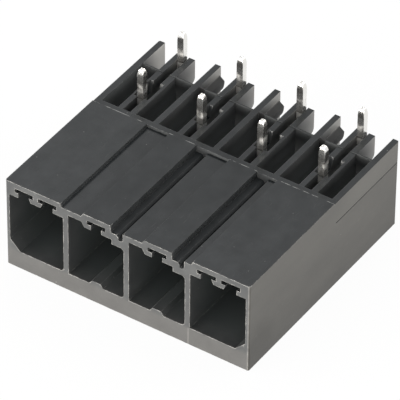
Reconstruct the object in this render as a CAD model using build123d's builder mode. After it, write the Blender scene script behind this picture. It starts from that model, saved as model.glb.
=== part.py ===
from build123d import *
import os

# Four-pole pin header for a circuit board, in millimetres. It lies as photographed: the face that
# goes on the board is on top, the solder tails point up, and the plug enters along +Y at the front.
# The origin is the middle of the bottom face, X runs along the row of poles.

# Overall housing
poles = 4
pitch = 7.62
depth = 28.6
height = 11.4
edge_round = 0.2

# Walls of the plug chambers
side_wall = 0.45
inner_wall = 0.64
floor = 2.28
chamber_depth = 15.8
partition = 0.85

# Smooth plate over the chambers; everything behind it lies a little lower
plate_depth = 15.95
plate_step = 0.12

# Roof of the chambers: a skin, a slot gap under it, and ledges that hold the plug's keys
skin = 0.68
slot_gap = 0.52
ledge = 0.58
corner_cut = 1.25
corner_ease = 0.3

# T-shaped key slots in the two end poles, measured from the pole's middle
key_reach = 2.65
key_mouth = 2.2
stem_half = 0.32
bar_half = 0.87
bar_bevel = 0.25

# Hook-shaped key slot in the middle poles, measured from the pole's left boundary
thin_skin_edge = 2.0
hook_left = 2.1
hook_width = 0.58
hook_foot = 0.52
hook_slant = 0.25
hook_slot_end = 5.0
hook_ledge_tip = 4.5
thin_roof = 0.7
step_drop = 0.62
step_wide = 1.22
step_end_drop = 0.28

# Rail on the floor of the middle chambers
floor_rail_wide = 1.75
floor_rail_top = 1.05
floor_rail_high = 0.47

# Grooves on the board face over the walls between poles
groove_low = 0.45
groove_side = 0.63
groove_bevel = 0.3
groove_reach = 1.95
deep_groove_low = 0.9
key_groove_low = 1.53
key_groove_left = 0.95
key_groove_right = 0.42
key_groove_corner = 0.2
key_groove_cut = 0.28
key_groove_lip = 0.25
key_groove_lean = 0.05
key_groove_lip_reach = 0.27
above = 1.0

# Rear bays with a rib pair each, and the slanted wall behind them
rear_side_wall = 0.72
divider = 0.7
bay_floor = 2.28
slope_run = 4.3
rib_left = 0.62
rib_right = 0.76
rib_low = 0.2
rib_short = 0.6
rib_heel = 0.6
rib_heel_low = 2.5
rib_notch = 0.44
notch_deep = 1.2
notch_front = 0.3
notch_rear = 2.3
notch_slant = 0.6

# Fine line under the upper rear part of the right side
side_line_front = 2.1
side_line_low = 8.45
side_line_wide = 0.12
side_line_deep = 0.08

# Rail on the right face of each divider, over the slanted wall
rail_low = 1.2
rail_fall = 0.5
rail_high = 1.5
rail_out = 0.65
rail_short = 0.25

# Stamped contacts
blade = 0.8
blade_play = 0.06
tab_high = 4.8
tab_setback = 7.3
tab_chamfer = 0.7
tail_out = 3.6
tail_wide = 0.8
tail_spacing = 7.62
tail_inset = 1.28
tip_high = 1.05
tip_ridge = 0.02

# Places worked out from the sizes above
length = poles * pitch
front = -depth / 2
rear = depth / 2
slot_roof = height - skin
ledge_top = slot_roof - slot_gap
ledge_under = ledge_top - ledge
chamber_end = front + chamber_depth
bay_front = chamber_end + partition
plate_end = front + plate_depth
slope_start = rear - slope_run
tab_middle = (floor + ledge_under) / 2
tab_under = tab_middle - tab_high / 2
tab_top = tab_middle + tab_high / 2
tab_tip = front + tab_setback
rear_tail = rear - tail_inset
front_tail = rear_tail - tail_spacing
slot_half = blade / 2 + blade_play
tail_top = height + tail_out
tip_start = tail_top - tip_high
rib_top = height - rib_low
rib_end = rear - rib_short

left_edges = [-length / 2 + pitch * i for i in range(poles)]
boundaries = left_edges[1:]
middles = [x + pitch / 2 for x in left_edges]


def chamber_sides(pole):
    """Inner faces of a pole's chamber: the outermost walls are thinner than the shared ones."""
    left = left_edges[pole] + (side_wall if pole == 0 else inner_wall / 2)
    right = left_edges[pole] + pitch - (side_wall if pole == poles - 1 else inner_wall / 2)
    return left, right


def corner_cuts(pole):
    """Chamfers of a chamber's two lower corners, left and right."""
    left = corner_cut if pole == 0 else 0
    right = corner_cut if pole == poles - 1 else corner_ease
    return left, right


def lower_outline(pole):
    """Points of a chamber's floor, from the left wall round to the right one."""
    left, right = chamber_sides(pole)
    cut_left, cut_right = corner_cuts(pole)
    points = [(left, floor + cut_left)]
    if cut_left:
        points.append((left + cut_left, floor))
    points += [(right - cut_right, floor), (right, floor + cut_right)]
    return points


def end_roof(pole):
    """Points of an end pole's roof, right to left: two ledges and a T-shaped bar between them."""
    left, right = chamber_sides(pole)
    mid = middles[pole]
    return [
        (right, ledge_under),
        (mid + key_mouth, ledge_under),
        (mid + key_mouth, ledge_top),
        (mid + key_reach, ledge_top),
        (mid + key_reach, slot_roof),
        (mid + stem_half, slot_roof),
        (mid + stem_half, ledge_top),
        (mid + bar_half, ledge_top),
        (mid + bar_half - bar_bevel, ledge_under),
        (mid - bar_half + bar_bevel, ledge_under),
        (mid - bar_half, ledge_top),
        (mid - stem_half, ledge_top),
        (mid - stem_half, slot_roof),
        (mid - key_reach, slot_roof),
        (mid - key_reach, ledge_top),
        (mid - key_mouth, ledge_top),
        (mid - key_mouth, ledge_under),
        (left, ledge_under),
    ]


def middle_roof(pole):
    """Points of a middle pole's roof, right to left: a step, one ledge, a hook and a thin roof."""
    left, right = chamber_sides(pole)
    edge = left_edges[pole]
    step_under = ledge_under - step_drop
    thin_under = height - groove_low - thin_roof
    hook_right = edge + hook_left + hook_width
    return [
        (right, step_under - step_end_drop),
        (right - step_end_drop, step_under),
        (right - step_wide - step_end_drop, step_under),
        (right - step_wide - step_end_drop, ledge_under),
        (edge + hook_ledge_tip, ledge_under),
        (edge + hook_ledge_tip, ledge_top),
        (edge + hook_slot_end, ledge_top),
        (edge + hook_slot_end, slot_roof),
        (hook_right, slot_roof),
        (hook_right, ledge_top),
        (hook_right + hook_foot, ledge_top),
        (hook_right + hook_foot, ledge_under),
        (edge + hook_left + hook_slant, ledge_under),
        (edge + thin_skin_edge, thin_under),
        (left, thin_under),
    ]


def is_end(pole):
    return pole in (0, poles - 1)


def left_groove(x):
    """Points of a plain groove's left side beside an end pole, from its floor up past the top."""
    return [(x - groove_side, height - groove_low), (x - groove_side, height + above)]


def left_key_groove(x):
    """Points of a groove whose left side steps down into a deep key slot beside a middle pole."""
    return [
        (x - key_groove_right, height - groove_low),
        (x - key_groove_right, height - key_groove_low + key_groove_corner),
        (x - key_groove_right - key_groove_cut, height - key_groove_low),
        (x - key_groove_left, height - key_groove_low),
        (x - key_groove_left - key_groove_lean, height - deep_groove_low - key_groove_lip),
        (x - key_groove_left - key_groove_lip_reach, height - deep_groove_low),
        (x - groove_reach, height - deep_groove_low),
        (x - groove_reach, height + above),
    ]


def right_groove(x, reach, bevel):
    """Points of a groove's right side, ending in a bevel."""
    return [
        (x + reach + bevel, height + above),
        (x + reach + bevel, height),
        (x + reach, height - groove_low),
    ]


with BuildPart() as housing:
    with BuildSketch() as base:
        Rectangle(length, depth)
        fillet(base.vertices(), edge_round)
    extrude(amount=height)

    # Plug chambers, open at the front
    with BuildSketch(Plane.XZ.offset(-front)) as mouths:
        for pole in range(poles):
            roof = end_roof(pole) if is_end(pole) else middle_roof(pole)
            with BuildLine():
                Polyline(*lower_outline(pole), *roof, close=True)
            make_face()
    extrude(amount=-chamber_depth, mode=Mode.SUBTRACT)

    # Rails on the floors of the middle chambers
    with BuildSketch(Plane.XZ.offset(-front)) as floor_rails:
        for pole in range(1, poles - 1):
            with BuildLine():
                Polyline(
                    (middles[pole] - floor_rail_wide / 2, floor),
                    (middles[pole] + floor_rail_wide / 2, floor),
                    (middles[pole] + floor_rail_top / 2, floor + floor_rail_high),
                    (middles[pole] - floor_rail_top / 2, floor + floor_rail_high),
                    close=True,
                )
            make_face()
    extrude(amount=-chamber_depth)

    # Grooves on the board face, one over each shared wall
    with BuildSketch(Plane.XZ.offset(-front)) as grooves:
        for i, x in enumerate(boundaries):
            left_side = left_groove(x) if is_end(i) else left_key_groove(x)
            if is_end(i + 1):
                right_side = right_groove(x, key_groove_right, key_groove_corner)
            else:
                right_side = right_groove(x, groove_reach, groove_bevel)
            with BuildLine():
                Polyline(*left_side, *right_side, close=True)
            make_face()
    extrude(amount=-plate_depth, mode=Mode.SUBTRACT)

    # Rear bays, open at the top and at the rear
    with BuildSketch(Plane.XY.offset(height)) as bays:
        for pole in range(poles):
            left = left_edges[pole] + (rear_side_wall if pole == 0 else divider / 2)
            right = left_edges[pole] + pitch - (rear_side_wall if pole == poles - 1 else divider / 2)
            with Locations(((left + right) / 2, (bay_front + rear) / 2)):
                Rectangle(right - left, rear - bay_front)
    extrude(amount=bay_floor - height, mode=Mode.SUBTRACT)

    # Slanted wall across the rear, under the dividers' top edges
    with BuildSketch(Plane.YZ.offset(rear_side_wall - length / 2)) as slant:
        with BuildLine():
            Polyline(
                (slope_start, bay_floor),
                (rear, bay_floor),
                (rear, height - slope_run),
                (slope_start, height),
                close=True,
            )
        make_face()
    extrude(amount=length - 2 * rear_side_wall)

    # Two ribs in each bay, made as one block and parted by the contact's slot
    for x in middles:
        with BuildSketch(Plane.YZ.offset(x - slot_half - rib_left)) as ribs:
            with BuildLine():
                heel = RadiusArc(
                    (rib_end - rib_heel, height - rib_heel_low - rib_heel),
                    (rib_end, height - rib_heel_low),
                    -rib_heel,
                )
                Polyline(
                    heel @ 1,
                    (rib_end, rib_top),
                    (bay_front, rib_top),
                    (bay_front, bay_floor),
                    (rib_end - rib_heel, bay_floor),
                    heel @ 0,
                )
            make_face()
        extrude(amount=rib_left + 2 * slot_half + rib_right)

    # Slots for the contacts: through the partition, and open at the top and rear behind it
    with BuildSketch(Plane.XY.offset(tab_under)) as slots:
        with Locations((0, (bay_front + rear) / 2)):
            with GridLocations(pitch, 1, poles, 1):
                Rectangle(2 * slot_half, rear - bay_front)
    extrude(amount=height - tab_under, mode=Mode.SUBTRACT)
    for x in middles:
        with BuildSketch(Plane.YZ.offset(x - slot_half - rib_notch)) as notch:
            with BuildLine():
                Polyline(
                    (front_tail - notch_front, height),
                    (front_tail - notch_front, rib_top - notch_deep),
                    (front_tail + notch_rear, rib_top - notch_deep),
                    (front_tail + notch_rear + notch_slant, height),
                    close=True,
                )
            make_face()
        extrude(amount=2 * (slot_half + rib_notch), mode=Mode.SUBTRACT)
    with BuildSketch(Plane.XZ.offset(-chamber_end)) as passages:
        with Locations((0, tab_middle)):
            with GridLocations(pitch, 1, poles, 1):
                Rectangle(2 * slot_half, tab_high)
    extrude(amount=-partition, mode=Mode.SUBTRACT)

    # Step down from the plate to all that lies behind it
    with BuildSketch(Plane.XY.offset(height)) as behind:
        with Locations((0, (plate_end + rear) / 2)):
            Rectangle(length, rear - plate_end)
    extrude(amount=-plate_step, mode=Mode.SUBTRACT)

    # Rails on the right faces of the dividers, with sloping tops and rounded undersides
    nose = height - rail_low - rail_fall
    with BuildSketch(Plane.XZ.offset(-slope_start)) as rails:
        for x in boundaries:
            face = x + divider / 2
            with BuildLine():
                under = EllipticalCenterArc(
                    (face, nose), rail_out, rail_high, start_angle=270, arc_size=90
                )
                Polyline(under @ 1, (face, height - rail_low), under @ 0)
            make_face()
    extrude(amount=-(slope_run - rail_short))

    # Fine line on the right side
    with BuildSketch(Plane.YZ.offset(length / 2)) as side_line:
        with Locations(((side_line_front + rear) / 2, side_line_low + side_line_wide / 2)):
            Rectangle(rear - side_line_front, side_line_wide)
    extrude(amount=-side_line_deep, mode=Mode.SUBTRACT)

housing.part.label = "housing"
export_step(housing.part, "parts/housing.step")


def tip_arc(middle, wide, high):
    """Half an ellipse over a solder tail's end, from the side with the larger coordinate."""
    return EllipticalCenterArc((middle, tip_start), wide / 2, high, start_angle=0, arc_size=180)


for number, x in enumerate(middles, start=1):
    with BuildPart() as contact:
        with BuildSketch(Plane.YZ.offset(x - blade / 2)) as stamping:
            with BuildLine():
                rear_tip = tip_arc(rear_tail, tail_wide, tip_high)
                front_tip = tip_arc(front_tail, tail_wide, tip_high)
                Polyline(
                    rear_tip @ 1,
                    (rear_tail - tail_wide / 2, tab_top),
                    (front_tail + tail_wide / 2, tab_top),
                    front_tip @ 0,
                )
                Polyline(
                    front_tip @ 1,
                    (front_tail - tail_wide / 2, tab_top),
                    (tab_tip + tab_chamfer, tab_top),
                    (tab_tip, tab_top - tab_chamfer),
                    (tab_tip, tab_under + tab_chamfer),
                    (tab_tip + tab_chamfer, tab_under),
                    (rear_tail + tail_wide / 2, tab_under),
                    rear_tip @ 0,
                )
            make_face()
        extrude(amount=blade)

        # Coin the tails' ends from both sides too; a fine ridge stays on each
        with BuildSketch(Plane.XZ.offset(tail_wide - front_tail)) as coining:
            with BuildLine():
                crown = tip_arc(x, blade, tip_high + tip_ridge)
                Polyline(
                    crown @ 0,
                    (x + blade / 2, tail_top + above),
                    (x - blade / 2, tail_top + above),
                    crown @ 1,
                )
            make_face()
        extrude(amount=-(tail_spacing + 2 * tail_wide), mode=Mode.SUBTRACT)

    contact.part.label = f"contact_{number}"
    export_step(contact.part, f"parts/contact_{number}.step")
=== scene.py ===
# %% [markdown]
# # A four-pole pin header
# A pin header is the part of a board connector that is soldered down. This one lies with its board
# face up, as in the photograph: four plug chambers are open at the front, and two rows of solder
# tails stand up. The solid model gives every shape its true size. This lesson adds what a solid
# model leaves out: softened edges, the surface of moulded plastic, and bright tin plate.

import math

import bpy
from mathutils import Matrix, Vector


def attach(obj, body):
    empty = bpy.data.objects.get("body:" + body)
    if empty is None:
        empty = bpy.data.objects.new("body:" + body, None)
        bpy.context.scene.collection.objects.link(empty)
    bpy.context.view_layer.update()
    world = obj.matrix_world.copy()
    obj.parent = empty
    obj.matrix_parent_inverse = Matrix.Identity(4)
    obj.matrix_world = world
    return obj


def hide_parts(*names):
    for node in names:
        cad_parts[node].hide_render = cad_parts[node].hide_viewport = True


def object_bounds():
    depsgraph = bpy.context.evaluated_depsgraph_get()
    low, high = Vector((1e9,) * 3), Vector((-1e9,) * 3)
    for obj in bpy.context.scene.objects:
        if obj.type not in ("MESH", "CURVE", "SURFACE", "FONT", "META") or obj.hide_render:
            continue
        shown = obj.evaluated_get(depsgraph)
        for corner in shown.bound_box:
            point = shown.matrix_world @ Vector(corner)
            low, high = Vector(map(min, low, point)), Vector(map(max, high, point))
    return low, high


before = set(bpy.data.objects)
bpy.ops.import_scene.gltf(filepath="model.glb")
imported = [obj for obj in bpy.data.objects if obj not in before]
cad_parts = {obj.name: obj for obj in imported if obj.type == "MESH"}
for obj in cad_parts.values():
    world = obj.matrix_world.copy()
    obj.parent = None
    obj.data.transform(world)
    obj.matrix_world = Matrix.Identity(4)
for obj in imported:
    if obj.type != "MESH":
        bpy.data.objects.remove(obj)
cad_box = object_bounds()
MM = 0.001
print("solid model spans", [[round(v / MM, 2) for v in corner] for corner in cad_box], "mm")

# %% [markdown]
# ## Picking things
# An operator acts on all that is selected, and a fresh import is selected all over. So each step
# starts from an empty selection and picks its object by hand.

# %% Selection helper


def pick(piece):
    """Leave object mode's selection with this one piece, and make it active."""
    if bpy.context.mode != "OBJECT":
        bpy.ops.object.mode_set(mode="OBJECT")
    bpy.ops.object.select_all(action="DESELECT")
    piece.select_set(True)
    bpy.context.view_layer.objects.active = piece
    return piece


# %% [markdown]
# ## Softened edges on the contacts
# A stamped contact has a burr on one side and a rolled corner on the other, and plating rounds both
# a little. A radius of a few hundredths of a millimetre is enough to draw the bright line that runs
# up each corner of a tail. The material could pretend that rounding, but a tail is so thin that its
# outline shows it too, so here the edges are really cut. The solids arrive as loose triangles, so a
# copy is welded together, its flat faces are joined up again, and a bevel runs along its edges.

# %% A welded copy with soft edges
EDGE_SOFTNESS = 0.045 * MM
EDGE_STEPS = 2
WELD = 0.002 * MM
NEARLY_FLAT = math.radians(0.6)
SHARP = math.radians(30)


def softened(node_name, piece_name):
    """Copy a solid, join its triangles into faces, and round its edges."""
    source = pick(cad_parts[node_name])
    bpy.ops.object.duplicate()
    piece = bpy.context.active_object
    piece.name = piece_name
    piece.data.name = piece_name
    bpy.ops.object.mode_set(mode="EDIT")
    bpy.ops.mesh.select_all(action="SELECT")
    bpy.ops.mesh.remove_doubles(threshold=WELD)
    bpy.ops.mesh.dissolve_limited(angle_limit=NEARLY_FLAT)
    bpy.ops.object.mode_set(mode="OBJECT")
    bpy.ops.mesh.customdata_custom_splitnormals_clear()
    bpy.ops.object.shade_smooth()
    bevel = piece.modifiers.new("soft_edges", "BEVEL")
    bevel.limit_method = "ANGLE"
    bevel.angle_limit = SHARP
    bevel.width = EDGE_SOFTNESS
    bevel.segments = EDGE_STEPS
    bevel.use_clamp_overlap = False
    bevel.harden_normals = True
    bpy.ops.object.modifier_apply(modifier=bevel.name)
    print(piece_name, "has", len(piece.data.polygons), "faces, from", len(source.data.polygons))
    return piece


# %% [markdown]
# ## The four blades and the shell
# Each blade stands for one contact: it hides that solid, rides on the same body and takes the
# contacts' finish. The housing's solid has the right shape as it is, and so many small edges that a
# bevel would tangle at their corners. So it stays, and its material rounds the edges' shading.

# %% Make the blades
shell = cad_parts["housing"]
blades = []
for number in range(1, 5):
    blade = softened(f"contact_{number}", f"blade_{number}")
    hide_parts(f"contact_{number}")
    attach(blade, "root")
    blades.append(blade)

# %% [markdown]
# ## Writing shaders as sums
# A finish is a formula: so much gloss here, a little more dust there. It could be wired up by hand
# in the node editor, one box at a time, but then nobody can read it. The class below wraps a node's
# output, so that a formula can be written as Python and each operator adds its own node.

# %% A socket that does arithmetic


class Wire:
    """One output of a node in a material, with arithmetic that adds Math nodes."""

    def __init__(self, tree, output):
        self.tree = tree
        self.output = output

    def node(self, kind, settings=None, **inputs):
        """Add a node, apply its settings, then fill or link its inputs, by name or as i0, i1."""
        made = self.tree.nodes.new(kind)
        for name, value in (settings or {}).items():
            if name == "stops":
                while len(made.color_ramp.elements) < len(value):
                    made.color_ramp.elements.new(0.5)
                for stop, (place, level) in zip(made.color_ramp.elements, value):
                    stop.position = place
                    stop.color = (level, level, level, 1)
            else:
                setattr(made, name, value)
        for name, value in inputs.items():
            key = int(name[1:]) if name[0] == "i" and name[1:].isdigit() else name.replace("_", " ")
            socket = made.inputs[key]
            if isinstance(value, Wire):
                self.tree.links.new(value.output, socket)
            else:
                socket.default_value = value
        return made

    def out(self, kind, settings=None, output=0, **inputs):
        """Add a node and wrap one of its outputs, given by number or name."""
        return Wire(self.tree, self.node(kind, settings, **inputs).outputs[output])

    def parts(self):
        """Split a vector into its three numbers."""
        split = self.node("ShaderNodeSeparateXYZ", Vector=self)
        return [Wire(self.tree, output) for output in split.outputs]

    def math(self, operation, *others):
        """Add a Math node that works on this value and the others."""
        values = {f"i{place}": value for place, value in enumerate((self, *others))}
        return self.out("ShaderNodeMath", {"operation": operation}, **values)

    def __add__(self, other):
        return self.math("ADD", other)

    def __sub__(self, other):
        return self.math("SUBTRACT", other)

    def __rsub__(self, other):
        return self.out("ShaderNodeMath", {"operation": "SUBTRACT"}, i0=other, i1=self)

    def __mul__(self, other):
        return self.math("MULTIPLY", other)

    __radd__ = __add__
    __rmul__ = __mul__

    def ramp(self, *stops):
        """Read this value off a curve of (place, level) stops, with places from 0 to 1."""
        return self.out("ShaderNodeValToRGB", {"stops": stops}, Fac=self)

    def over(self, reach, *stops):
        """Read a length off a curve of (length, level) stops, none of them past the reach."""
        return (self * (1.0 / reach)).ramp(*((length / reach, level) for length, level in stops))

    def rises(self, start, end, reach=10.0):
        """Nought up to the start, one from the end on."""
        return self.over(reach, (start, 0.0), (end, 1.0))

    def falls(self, start, end, reach=10.0):
        """One up to the start, nought from the end on."""
        return self.over(reach, (start, 1.0), (end, 0.0))

    def mix(self, low, high):
        """Blend two colours by this value."""
        return self.out("ShaderNodeMix", {"data_type": "RGBA"}, output=2, i0=self, i6=low, i7=high)


# %% [markdown]
# ## Starting a finish
# Every finish starts from an empty material with one surface shader, and from the place of a point
# on its piece. Generated coordinates would stretch with the piece's box. Object coordinates are in
# metres, so a noise of a thousand cells to the metre has cells of one millimetre on every piece.

# %% Helpers for a finish


def finish_named(name):
    """Make a material with a plain surface shader, and give both and a wire with the place."""
    finish = bpy.data.materials.new(name)
    finish.use_nodes = True
    tree = finish.node_tree
    coordinates = tree.nodes.new("ShaderNodeTexCoord")
    return finish, tree.nodes["Principled BSDF"], Wire(tree, coordinates.outputs["Object"])


def noise(where, scale, detail=2.0, roughness=0.5):
    """Cloudy noise of this many cells to the metre."""
    return where.out(
        "ShaderNodeTexNoise", Vector=where, Scale=scale, Detail=detail, Roughness=roughness
    )


def stretched(where, cells, turn=0.0):
    """The place in cells, so many to the metre along each axis, for noise that runs one way."""
    return where.out("ShaderNodeMapping", Vector=where, Rotation=(0.0, 0.0, turn), Scale=cells)


def feed(surface, **wires):
    """Link wires to the surface shader's sockets of those names."""
    for name, wire in wires.items():
        wire.tree.links.new(wire.output, surface.inputs[name.replace("_", " ")])


# %% [markdown]
# ## Black moulded plastic
# The housing is a glass-filled plastic, moulded in one shot. It is black, but never fully: its skin
# clouds slowly where the melt flowed from front to back, it carries fine grain, pale specks and
# short scuffs, and every edge is a little lighter, partly rubbed and partly a painted highlight.
# One flat black would look like a hole in the picture, and a painted image would blur close up.
# So every tone is worked out from two things that belong to the piece itself: where a point lies
# on it, and which way its face looks.

# %% Where a point lies, in millimetres
black, plastic, place = finish_named("black_moulding")
DEPTH = (cad_box[1][1] - cad_box[0][1]) / MM
across, along, tall = (part * (1.0 / MM) for part in place.parts())
aside = across.math("ABSOLUTE")
behind = along + DEPTH / 2
print("the finish counts", round(DEPTH, 1), "mm from the front face to the back")

# %% Which way a face looks
TURNED_THERE = ((0.4, 0.0), (0.8, 1.0))
normal = place.out("ShaderNodeNewGeometry", output="Normal")
facing_right, facing_rear, facing_up = normal.parts()
rightward = facing_right.ramp(*TURNED_THERE)
frontward = (0.0 - facing_rear).ramp(*TURNED_THERE)
upward = facing_up.ramp(*TURNED_THERE)
level = facing_up.ramp((0.8, 0.0), (0.9, 1.0))

# %% [markdown]
# ## Clouds, grain and specks
# Moulded skin isn't even. Where the melt ran it left long clouds, the mould's own surface shows as
# fine grain, and handling adds short scuffs and specks of dust. Each is one noise at its own scale,
# because one noise with many octaves would give them all the same contrast.

# %% The plastic's patterns
cloud = noise(stretched(place, (420.0, 130.0, 420.0)), 1.0, 3.0, 0.55)
blotch = noise(place, 520.0, 3.0, 0.6)
mottle = noise(place, 1700.0)
grain = noise(place, 11000.0, 2.0, 0.6)
scuff = noise(stretched(place, (5200.0, 700.0, 2600.0), 0.6), 1.0, 1.0)
scuff = scuff.ramp((0.70, 0.0), (0.78, 1.0))
speck = place.out("ShaderNodeTexVoronoi", Vector=place, Scale=800.0)
dust = speck.ramp((0.04, 1.0), (0.08, 0.0)) * mottle.ramp((0.5, 0.0), (0.6, 1.0))

# %% [markdown]
# ## Edges
# The real edges are rounded by about a tenth of a millimetre and rubbed pale, and their pale tone
# is partly a painted highlight. The Bevel node gives the normal that a rounded edge would have. It
# rounds the shading, and where it leaves the plain normal there is an edge, which gives the mask
# for the wear and the painted highlight. Pointiness would find edges too, but only at a mesh's own
# points, and this mesh has no points between its corners.

# %% Rounded edges, rubbed pale and with a painted highlight
EDGE_RADIUS = 0.10 * MM
WEAR_AND_HIGHLIGHT_WIDTH = 0.16 * MM
EDGE_RAYS = 6
rounded = place.out("ShaderNodeBevel", {"samples": EDGE_RAYS}, Radius=EDGE_RADIUS)
rubbed_and_highlit = place.out("ShaderNodeBevel", {"samples": EDGE_RAYS}, Radius=WEAR_AND_HIGHLIGHT_WIDTH)
same_way = place.out(
    "ShaderNodeVectorMath", {"operation": "DOT_PRODUCT"}, output="Value", i0=rubbed_and_highlit, i1=normal
)
worn_and_highlit = (1.0 - same_way).ramp((0.04, 0.0), (0.20, 1.0)) * mottle.ramp((0.40, 0.1), (0.62, 1.0))
print("edges look rounded by", round(EDGE_RADIUS / MM, 2), "mm")
print("and rubbed over", round(WEAR_AND_HIGHLIGHT_WIDTH / MM, 2), "mm")

# %% [markdown]
# ## Where each tone belongs
# On the real part the polished top, the matt walls, the rims and the grooves all differ in tone,
# and some places carry painted light and shade as well.
# They could be cut apart into materials of their own, but their borders would then be hard lines.
# Each mask below is one where its place is and nought elsewhere, with a short fade between. It is a
# product of fades in millimetres, so it can be moved by hand and needs no map painted on the piece.

# %% The front half: its plate and the grooves in it
plate = along.falls(1.6, 1.8)
high = tall.rises(9.3, 9.5)
inner = aside.falls(15.0, 15.2, 20.0)
groove = high * plate * inner * behind.rises(0.2, 0.4)
trough = groove * upward * tall.falls(10.7, 10.8, 20.0)
polished = (groove * 0.5).math("MAXIMUM", high * upward)
plate_but_grooves = plate - groove
panel = tall.rises(8.4, 8.5) * along.rises(2.0, 7.0)
end_wall = high * plate * frontward * along.rises(0.8, 1.2)

# %% The chambers, and the rims round their mouths
chamber = (1.0 - high) * plate * inner * behind.rises(0.3, 3.5)
rim = behind.falls(0.05, 0.3) * tall.over(10.0, (2.0, 0.48), (2.6, 0.06))
corner = across.rises(15.02, 15.08, 20.0) * behind.falls(0.12, 0.25)

# %% Fine lines: a flow line in a wall's foot, the plate's rear edge, the cross wall's edge
SEAM = 7.75
LIP = 1.63
RIDGE = 10.0
seam = across.math("COMPARE", SEAM, 0.07) * tall.falls(2.1, 2.3) * behind.falls(0.1, 0.2)
lip = along.math("COMPARE", LIP, 0.06) * tall.rises(11.24, 11.32, 20.0)
lip = lip * mottle.ramp((0.46, 0.0), (0.60, 1.0))
ridge = along.math("COMPARE", RIDGE, 0.3)

# %% [markdown]
# ## The open bays
# In the photograph light reaches deep into the bays, further than from plain studio lamps. So the
# faces that catch it, those that look to the right and the low rear walls, get masks for a lighter
# tone, and the rails, which stay dark, get one for a darker tone. A fraction of the pitch repeats
# the rails' mask at every pole, which is shorter than a mask for each.

# %% The bays
LEFT_WALL = -14.0
beyond = 1.0 - plate
left_wall = across.math("LESS_THAN", LEFT_WALL)
bay_front = beyond * frontward
rear_wall = bay_front * along.rises(9.6, 9.8, 20.0) * inner
rear_wall = rear_wall * tall.over(10.0, (8.0, 0.9), (10.0, 0.06))
bay_end = along.over(20.0, (10.6, 0.0), (12.0, 0.25), (14.2, 0.8))
bay_end = bay_end.math("MAXIMUM", along.rises(10.0, 12.4, 20.0) * left_wall) * rightward * inner
bay_deep = tall.falls(7.5, 10.0).math("MAXIMUM", left_wall * 0.2) * beyond * rightward * inner

# %% The rails on the dividers
PITCH = 7.62
WHOLE_CELLS = 8.0
cell = (across * (1.0 / PITCH) + WHOLE_CELLS).math("FRACT")
rail = cell.ramp((0.050, 0.0), (0.056, 1.0)) * cell.ramp((0.14, 1.0), (0.15, 0.0))
rail = rail * along.rises(9.8, 10.0, 20.0) * (1.0 - left_wall)
print("rails repeat every", PITCH, "mm")

# %% [markdown]
# ## The plastic's colour
# The colour is built as a painter would lay it: first the skin all over, then the polished top, and
# on that each place whose tone differs, each layer blended over the last by its mask. Mix nodes do
# that, since a Math node would turn the colours grey.

# %% The skin, the polished top, and painted shade on the bays' front faces
SKIN_TONES = (0.034, 0.036, 0.037, 1), (0.060, 0.062, 0.062, 1)
POLISHED_TONES = (0.0, 0.002, 0.003, 1), (0.027, 0.030, 0.032, 1)
flow = (cloud * 0.45 + blotch * 0.55).ramp((0.33, 0.0), (0.67, 1.0))
fade = aside.over(10.0, (5.0, 0.0), (8.0, 0.45)) + 0.05 - along * 0.03 - across * 0.012
skin = flow.mix(*SKIN_TONES)
deep = (flow * 0.5 + fade * 0.5).mix(*POLISHED_TONES)
# Faces in the bays that look to the front take part of the dark polished tone as painted shade.
skin = polished.math("MAXIMUM", bay_front * 0.4).mix(skin, deep)
print("the skin so far takes", len(place.tree.nodes), "nodes")

# %% Painted light and shade on end walls, rear walls, chambers and front rims
END_WALL_LIT_TONE = (0.07, 0.073, 0.074, 1)
REAR_WALL_TONE = (0.27, 0.275, 0.27, 1)
CHAMBER_LIT_AND_SHADED_TONES = (0.037, 0.043, 0.043, 1), (0.058, 0.067, 0.067, 1)
RIM_LIT_TONE = (0.085, 0.081, 0.076, 1)
PALE_TONE = (0.20, 0.195, 0.185, 1)
# The grooves' end walls get a lighter tone, which is painted light.
skin = end_wall.mix(skin, END_WALL_LIT_TONE)
skin = rear_wall.mix(skin, REAR_WALL_TONE)
# Inside the chambers the floors take a lighter tone than the walls: painted light and shade.
skin = (chamber * 0.85).mix(skin, level.mix(*CHAMBER_LIT_AND_SHADED_TONES))
# The front face, most of all its lower strip, gets a lighter, warmer tone: painted light bounced up
# from the floor.
skin = rim.mix(skin, RIM_LIT_TONE)
# The flow line is a real pale mark. The front right corner's pale tone is partly wear and partly a
# painted highlight.
skin = (seam * 0.35 + corner * mottle).mix(skin, PALE_TONE)

# %% The right side, darker round a spot low near its front, lighter towards the top and on its upper rear panel
SIDE_TONES = (0.024, 0.022, 0.017, 1), (0.071, 0.068, 0.059, 1)
DARK_SPOT_CENTRE = (15.24 * MM, -12.6 * MM, 2.4 * MM)
from_dark_spot = place.out(
    "ShaderNodeVectorMath", {"operation": "DISTANCE"}, output="Value", i0=place, i1=DARK_SPOT_CENTRE
)
dark_spot = (from_dark_spot * (1.0 / MM)).over(10.0, (1.0, 0.35), (3.5, 0.0))
side_tone_field = mottle * 0.3 + cloud * 0.7 + (tall - 5.0) * 0.045 + panel * 0.25 - dark_spot
side = side_tone_field.ramp((0.2, 0.0), (1.0, 1.0)).mix(*SIDE_TONES)
skin = (rightward * (1.0 - inner)).mix(skin, side)

# %% The bays' faces
RAIL_TONE = (0.004, 0.004, 0.004, 1)
BAY_TONE = (0.20, 0.215, 0.215, 1)
BAY_END_TONE = (0.36, 0.35, 0.33, 1)
skin = (rail * 0.9).mix(skin, RAIL_TONE)
skin = (bay_deep * (1.0 - rail)).mix(skin, BAY_TONE)
skin = (bay_end * (0.8 - rail * 0.8)).mix(skin, BAY_END_TONE)

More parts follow.
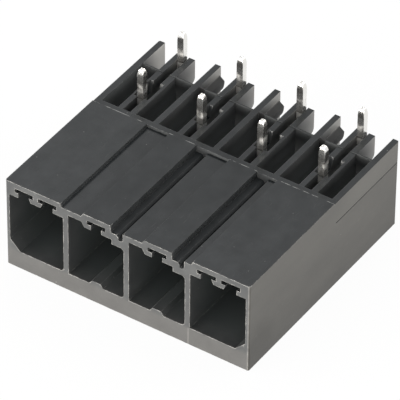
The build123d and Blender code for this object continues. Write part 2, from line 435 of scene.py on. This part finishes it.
# %% Wear with painted edge highlights, and dust, over all
WORN_AND_HIGHLIT_TONE = (0.26, 0.255, 0.24, 1)
BARE_AND_HIGHLIT_TONE = (0.48, 0.47, 0.45, 1)
LIP_TONE = (0.36, 0.36, 0.35, 1)
DUST_TONE = (0.34, 0.34, 0.32, 1)
# Edges are paler, partly from wear and partly as a painted highlight, most of all on the front
# half.
skin = (worn_and_highlit * (0.1 + plate_but_grooves * 0.6 - ridge * 0.1)).mix(skin, WORN_AND_HIGHLIT_TONE)
# The front face's edges are paler still: in part bare plastic, in part a painted highlight.
skin = (worn_and_highlit * behind.over(10.0, (0.3, 0.55), (0.6, 0.0))).mix(skin, BARE_AND_HIGHLIT_TONE)
skin = (lip * 0.6).mix(skin, LIP_TONE)
skin = (scuff * 0.03 + dust * 0.25).mix(skin, DUST_TONE)

# %% [markdown]
# ## The plastic's gloss and relief
# Gloss follows the mould: polished on top, duller on rims, rails and the grooves' floors. The grain
# is far too fine to model, so a Bump node tilts the shading by it. The rounded normal counts in
# full on the front half. In the grooves and at the rear it counts by a fifth, because there it
# would draw more bright lines than the photograph has.

# %% Gloss, relief, and the finished plastic
rough = 0.28 - polished * 0.14 + cloud * 0.08 + mottle * 0.05
rough = rough + rim * 0.15 + rail * 0.3 + trough * 0.45
softness = 0.2 + plate_but_grooves * 0.8
bent = place.out(
    "ShaderNodeMix", {"data_type": "VECTOR"}, output=1, i0=softness, i4=normal, i5=rounded
)
relief = place.out(
    "ShaderNodeBump",
    Strength=0.2,
    Distance=0.01 * MM,
    Height=grain * 0.35 + mottle * 0.3,
    Normal=bent,
)
feed(plastic, Base_Color=skin, Roughness=rough, Normal=relief)
plastic.inputs["IOR"].default_value = 1.46
print(black.name, "has", len(place.tree.nodes), "nodes")

# %% [markdown]
# ## Tin plate
# The contacts are stamped from copper alloy and plated with bright tin. Tin is a white metal, with
# fine lines along the strip where it was rolled. The photograph's tails mirror a room that can't be
# seen, in patches of light and dark. A picture of a room could be mirrored instead, but it would be
# made up. So the tin is bright here, with a satin band above the board face and a satin foot that
# stand in for the light patches.

# %% The tin
tin, metal, spot = finish_named("tin_plate")
height = spot.parts()[2] * (1.0 / MM)
lines = noise(stretched(spot, (9000.0, 9000.0, 500.0)), 1.0)
bloom = noise(spot, 900.0)
satin = height.rises(11.7, 12.2, 20.0) * height.falls(12.64, 13.24, 20.0)
satin = satin * bloom.ramp((0.38, 0.15), (0.58, 1.0))
foot = height.rises(10.0, 10.2, 20.0) * height.falls(10.9, 11.1, 20.0)
feed(
    metal,
    Base_Color=bloom.mix((0.72, 0.71, 0.68, 1), (0.88, 0.87, 0.84, 1)),
    Roughness=0.08 + lines * 0.03 + bloom * 0.05 + satin * 0.34 + foot * 0.5,
    Normal=spot.out(
        "ShaderNodeBump", Strength=0.5, Distance=0.05 * MM, Height=lines * 0.02 + bloom
    ),
)
metal.inputs["Metallic"].default_value = 0.97
print(tin.name, "has", len(spot.tree.nodes), "nodes")

# %% [markdown]
# ## Putting the finishes on
# The shell is the solid itself, so only its material changes and its mesh stays as it is. A slot
# that a piece brought along would stay first in its list, so the list is emptied before.

# %% Dress the pieces


def dress(piece, finish):
    """Give a piece one finish all over."""
    piece.data.materials.clear()
    piece.data.materials.append(finish)


dress(shell, black)
for blade in blades:
    dress(blade, tin)
print("finishes:", black.name, "on the shell and", tin.name, "on", len(blades), "blades")

# %% [markdown]
# ## The studio
# The photograph is a cut-out on white. More light would whiten the floor, but it would bleach the
# header too. So the floor is pale paper that catches the shadow, and a glow is mixed over it only
# for rays that come from the camera or by way of a mirror or glass. The world is plain white.

# %% Floor
WHITENESS = 0.94
PAPER = (0.85, 0.85, 0.85, 1)
FLOOR_SIZE = 4.0


def plain_view(wire):
    """One for rays from the camera, for mirrored rays and for rays through glass, else nought."""
    rays = wire.node("ShaderNodeLightPath")
    seen, shiny, through = (
        Wire(wire.tree, rays.outputs[name])
        for name in ("Is Camera Ray", "Is Glossy Ray", "Is Transmission Ray")
    )
    return seen.math("MAXIMUM", shiny).math("MAXIMUM", through)


def white_floor():
    """Lay a sheet of paper that the camera sees nearly white, shadow and all."""
    bpy.ops.object.select_all(action="DESELECT")
    bpy.ops.mesh.primitive_plane_add(size=FLOOR_SIZE, location=(0, 0, 0))
    sheet = bpy.context.active_object
    sheet.name = "floor"
    finish, surface, spread = finish_named("white_floor")
    surface.inputs["Base Color"].default_value = PAPER
    surface.inputs["Roughness"].default_value = 0.9
    surface.inputs["Specular IOR Level"].default_value = 0.0
    glow = spread.out("ShaderNodeEmission", Color=(1, 1, 1, 1), Strength=1.0)
    paper = Wire(spread.tree, surface.outputs["BSDF"])
    lit = spread.out("ShaderNodeMixShader", i0=plain_view(spread) * WHITENESS, i1=paper, i2=glow)
    spread.tree.links.new(lit.output, spread.tree.nodes["Material Output"].inputs["Surface"])
    dress(sheet, finish)
    return sheet


floor = white_floor()
print(floor.name, "is", FLOOR_SIZE, "m wide")

# %% World
world = bpy.data.worlds.new("white_room")
world.use_nodes = True
bpy.context.scene.world = world
background = world.node_tree.nodes["Background"]
background.inputs["Color"].default_value = (1, 1, 1, 1)
background.inputs["Strength"].default_value = 1.0
print("world:", world.name)

# %% [markdown]
# ## Lamps
# The white world lights everything evenly, and a few low lamps add a direction. One strong lamp
# would be simpler, but its shadow would be hard. Most of these are wide and flat, because the
# polished top mirrors what stands behind it: seen from low down, a tall lamp shows there as glare.

# %% Lamps
WARM = (1.0, 0.965, 0.92)
LAMP_REACH = 0.6
AIM = Vector((0, 0, 0.006))
LAMPS = {
    "front_left": ((-0.7, -0.7, 0.08), (0.5, 0.08), 4.5),
    "front": ((0.0, -1.0, 0.08), (0.5, 0.08), 4.2),
    "front_right": ((0.7, -0.7, 0.08), (0.5, 0.08), 0.7),
    "right_back": ((0.8, 0.6, 0.2), (0.4, 0.4), 1.4),
    "back": ((-0.2, 1.0, 0.08), (0.5, 0.08), 1.0),
}


def add_lamp(name, direction, size, power):
    """A soft lamp of this width and height, in metres, aimed at the middle of the header."""
    towards = Vector(direction).normalized()
    bpy.ops.object.light_add(type="AREA", location=AIM + towards * LAMP_REACH)
    lamp = bpy.context.active_object
    lamp.name = name
    lamp.rotation_euler = towards.to_track_quat("Z", "Y").to_euler()
    lamp.data.shape = "RECTANGLE"
    lamp.data.size, lamp.data.size_y = size
    lamp.data.energy = power
    lamp.data.color = WARM
    return lamp


for name, (direction, size, power) in LAMPS.items():
    print("lamp:", add_lamp(name, direction, size, power).name, "with", power, "W")

# %% [markdown]
# ## The camera
# The photograph was taken from the front right and well above, through a long lens. A camera could
# be placed by eye, but these numbers come from a fit of the housing's edges to the photograph: two
# angles and a roll, a distance, a shift of the eye to the side and up, and a focal length.

# %% Camera
AZIMUTH = math.radians(33.4301)
ELEVATION = math.radians(40.0029)
ROLL = math.radians(0.5495)
DISTANCE = 499.017 * MM
ASIDE = -0.2641 * MM
UPWARD = 4.512 * MM
IMAGE_WIDTH = 400
FOCAL_PIXELS = 4695.855
SENSOR = 36.0

back = Vector((
    math.sin(AZIMUTH) * math.cos(ELEVATION),
    -math.cos(AZIMUTH) * math.cos(ELEVATION),
    math.sin(ELEVATION),
))
level_right = Vector((math.cos(AZIMUTH), math.sin(AZIMUTH), 0))
level_up = back.cross(level_right)
right = math.cos(ROLL) * level_right + math.sin(ROLL) * level_up
up = -math.sin(ROLL) * level_right + math.cos(ROLL) * level_up
eye = right * ASIDE + up * UPWARD + back * DISTANCE

bpy.ops.object.camera_add(location=eye)
camera = bpy.context.active_object
camera.rotation_euler = Matrix((right, up, back)).transposed().to_euler()
camera.data.lens = FOCAL_PIXELS / IMAGE_WIDTH * SENSOR
camera.data.sensor_width = SENSOR
camera.data.clip_start = 0.01
bpy.context.scene.camera = camera
bpy.context.scene.view_settings.view_transform = "Standard"
print("camera at", [round(v / MM) for v in eye], "mm, lens", round(camera.data.lens), "mm")
